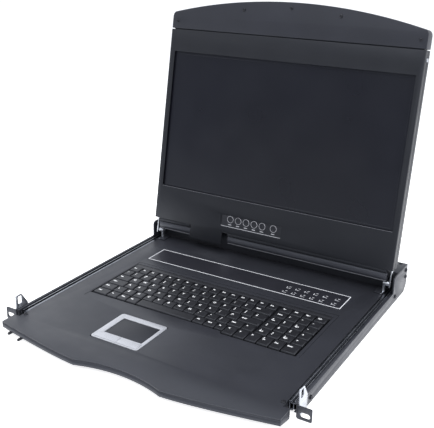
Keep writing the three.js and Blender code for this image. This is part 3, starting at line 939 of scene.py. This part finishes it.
def key_cap():
    """A cap one pitch wide on the origin: sloping sides, a rounded shoulder, a shallow dish."""
    half = (KEY_PITCH - CAP_GAP) / 2
    cap = block("cap_pattern", (-half, half), (-half, half), (0, 0.8))
    with editing(cap):
        choose_faces(cap, lambda middle, normal: normal.z > 0.9)
        for thickness, depth in ((1.0, 3.2), (0.4, 0.12), (2.4, -0.14)):
            bpy.ops.mesh.inset(thickness=thickness * MM, depth=depth * MM)
    return round_edges(cap, 0.25, 1)


def stretched(pattern, name, wider, deeper, place):
    """A copy of a cap drawn out to the right and to the front, at its place."""
    cap = bpy.data.objects.new(name, pattern.data.copy())
    bpy.context.scene.collection.objects.link(cap)
    for vertex in cap.data.vertices:
        vertex.co.x += wider * MM if vertex.co.x > 0 else 0
        vertex.co.y -= deeper * MM if vertex.co.y < 0 else 0
    cap.data.transform(place)
    return cap


def add_legend(text, x, y, z, size):
    """Print on a cap: its left end and its baseline at x and y."""
    bpy.ops.object.text_add(location=(x * MM, y * MM, z * MM))
    ink = bpy.context.object
    ink.data.body = text
    ink.data.size = size * MM
    ink.data.offset = 0.2 * MM
    ink.data.extrude = 0.02 * MM
    ink.data.resolution_u = 2
    return ink


def print_cap(legend, left, back, top):
    """Prints a legend towards a cap's rear left corner."""
    size = LETTER_SIZE if len(legend) == 1 else WORD_SIZE
    rise = SECOND_LINE if "|" in legend else 0
    baseline = back - LEGEND_DOWN - size * 0.2 + rise
    return add_legend(legend.replace("|", "\n"), left + LEGEND_LEFT, baseline, top - 0.1, size)


def key_row(pattern, node):
    """One row's caps on their web, and the print on them."""
    low, high = limits(node)
    caps, prints = [], []
    x = low.x - CAP_GAP / 2
    row = KEY_ROWS[node]
    for index, (legend, width) in enumerate(row):
        extra = (width - 1) * KEY_PITCH
        forward = ARROW_STEP if index >= FORWARD_FROM.get(node, len(row)) else 0
        middle = (x + KEY_PITCH / 2, high.y - (KEY_PITCH - CAP_GAP) / 2)
        if legend is not None:
            place = at(*middle, high.z - CAP_HEIGHT)
            caps.append(stretched(pattern, "cap", extra, forward, place))
        if legend:
            prints.append(print_cap(legend, x, high.y, high.z))
        x += width * KEY_PITCH
    web_depth = (high.y - KEY_PITCH + CAP_GAP, high.y)
    web = block("web", (low.x, high.x), web_depth, (low.z, low.z + 0.8))
    dress(join(f"{node}_caps", [*caps, web]), node, "keys", node)
    if prints:
        pick(*prints)
        bpy.ops.object.convert(target="MESH")
        legends = join(f"{node}_legends", prints)
        pick(legends)
        bpy.ops.object.transform_apply(location=True, rotation=True, scale=True)
        dress(legends, node, "white_ink")


def keyboard():
    """The caps in their well, and the frame bar behind the function keys."""
    formed("keyboard_base", "plastic", 0.2, 1)
    keys_back = limits("keys_function_row")[1].y
    low, high = limits("keyboard_base")
    depth = (keys_back + CAP_GAP, high.y)
    bar = block("key_frame_bar", (low.x, high.x), depth, (10, DECK_TOP - 0.2))
    dress(round_edges(bar, 0.4), "drawer", "plastic")
    pattern = key_cap()
    for node in KEY_ROWS:
        key_row(pattern, node)
    bpy.data.objects.remove(pattern)


# ---------------------------------------------------------------- display


CAP_SCREWS = ((-208, 364), (-83, 389), (0, 396), (83, 389), (208, 364))
VENT_PITCH = 7
OSD_BUTTONS = (-67, -52, -37, -22, -7, 13.5)
OSD_UP = 46.9
OSD_PANEL_Y = DISPLAY_FACE + 0.9


def display_housing():
    """The bezel in the darker copy of the steel and the cap in a lighter one, as painted shade and painted light,
    and the strip that closes the gap between them.
    """
    formed("display_bezel", "display_steel_painted_shade", 0.5)
    formed("display_cap", "cap_steel_painted_light", 0.9, 3)
    bridge = block("cap_bridge", (-214, 214), (-8, 8), (CAP_FOOT - 5, CAP_FOOT + 5))
    dress(lean_back(round_edges(bridge, 0.5)), "display", "display_steel_painted_shade")


def display_back():
    """The back cover with four groups of vents."""
    cover = round_edges(blank_from("display_back_cover", "back_cover_vented"), 0.9, 3)
    slot = block("vent_pattern", (-1.5, 1.5), (8, 13), (-16, 16))
    columns = [sign * (50 + VENT_PITCH * i) for i in range(14) for sign in (-1, 1)]
    vents = repeat(slot, "back_vents", [at(x, 0, z) for x in columns for z in (92, 300)])
    carve(cover, lean_back(vents))
    dress(cover, "display", "display_steel_painted_shade", "display_back_cover")


def display_screws():
    """Six heads on the back cover and five along the cap."""
    spots = [(x, z) for x in (-206, 0, 206) for z in (34, 340)]
    back = [at(x, 11, z) @ FACE_REAR for x, z in spots]
    heads = lean_back(repeat(screw_head(2.8, 1.2), "back_cover_screws", back))
    dress(heads, "display", "screw")
    front = [at(x, DISPLAY_FACE, z) @ FACE_FRONT for x, z in CAP_SCREWS]
    heads = lean_back(repeat(screw_head(2.6, 1.0), "cap_screws", front))
    dress(heads, "display", "screw")


def screen():
    """The panel, its active area a hair below the black border, and a pale strip on the opening's lower edge as a
    painted highlight.
    """
    panel = blank_from("lcd_panel", "screen_panel")
    facing = Vector((0, -math.cos(LEAN), math.sin(LEAN)))
    with editing(panel):
        choose_faces(panel, lambda middle, normal: normal.dot(facing) > 0.9)
        bpy.ops.mesh.inset(thickness=7.1 * MM)
        bpy.ops.mesh.inset(thickness=0.2 * MM, depth=-0.15 * MM)
    dress(panel, "display", "screen", "lcd_panel")
    # A pale strip on the opening's lower edge: a painted highlight.
    depth = (DISPLAY_FACE + 0.3, DISPLAY_FACE + 1.4)
    sill = block("screen_sill_painted_highlight", (-208.3, 208.3), depth, (SCREEN_FOOT, SCREEN_FOOT + 0.4))
    dress(lean_back(round_edges(sill, 0.15, 1)), "display", "highlight_grey")


def screen_buttons():
    """The sunk panel's six round buttons, the ring and label of each, and a grey bar on the panel's lower edge as
    a painted highlight.
    """
    formed("osd_panel", "plastic", 0.2, 1)
    for index, x in enumerate(OSD_BUTTONS, start=1):
        node = f"osd_button_{index}"
        button = rod(f"{node}_moulded", 4.9, 3.5, (x, DISPLAY_FACE + 1.85, OSD_UP), "y", 40)
        with editing(button):
            choose_faces(button, lambda middle, normal: normal.y < -0.9)
            bpy.ops.mesh.inset(thickness=0.8 * MM)
            bpy.ops.mesh.inset(thickness=1.4 * MM, depth=-0.35 * MM)
        dress(lean_back(round_edges(button, 0.35, 2)), node, "plastic", node)
    marks = []
    for x in OSD_BUTTONS:
        bpy.ops.mesh.primitive_torus_add(
            major_radius=5.6 * MM,
            minor_radius=0.36 * MM,
            major_segments=40,
            minor_segments=6,
            location=(x * MM, OSD_PANEL_Y * MM, OSD_UP * MM),
            rotation=AXIS_TURN["y"],
        )
        marks.append(settle("ring"))
        marks.append(block("label", (x - 3, x + 3), (OSD_PANEL_Y - 0.08, OSD_PANEL_Y), (37.4, 38.6)))
    # The panel's lower chamfer catching light, painted as a grey bar: a painted highlight.
    edge_depth = (DISPLAY_FACE + 0.1, OSD_PANEL_Y)
    marks.append(block("panel_edge_painted_highlight", (-84, 27.3), edge_depth, (34.0, 34.6)))
    dress(lean_back(join("button_marks", marks)), "display", "grey_ink_and_highlight")


def hinges_and_bolts():
    """The hinge covers, in a lighter steel as a painted highlight, with a seal above and a pale strip below as a
    painted highlight on their lower edge, the leaves and the bolts.
    """
    for word, _ in SIDES:
        formed(f"hinge_cover_{word}", "cover_steel_painted_highlight", 0.4)
        low, high = limits(f"hinge_cover_{word}")
        length = (low.x + 0.4, high.x - 0.4)
        seal = block(f"cover_seal_{word}", length, (DISPLAY_FACE + 0.4, -5.2), (18.6, 22.8))
        dress(lean_back(round_edges(seal, 0.3)), "display", "display_steel_painted_shade")
        # A pale strip along the cover's lower front edge: a painted highlight.
        lip = block(f"cover_painted_highlight_{word}", length, (-6.6, -4.6), (4.5, 5.3))
        dress(lean_back(round_edges(lip, 0.2, 1)), "display", "highlight_grey")
        formed(f"hinge_leaf_{word}", "zinc", 0.3)
        formed(f"latch_bolt_{word}", "zinc", 0.4)


# ---------------------------------------------------------------- the whole drawer


FINISHES = make_finishes()
add_camera()
add_studio()
side_plates()
ears_and_strikers()
slides()
rear_box()
rear_ports()
power_entry()
tray_deck()
tray_underneath()
touchpad()
control_strip()
keyboard()
display_housing()
display_back()
display_screws()
screen()
screen_buttons()
hinges_and_bolts()
for board in ("switch_board", "control_board", "driver_board", "power_supply"):
    coat(board, "board")
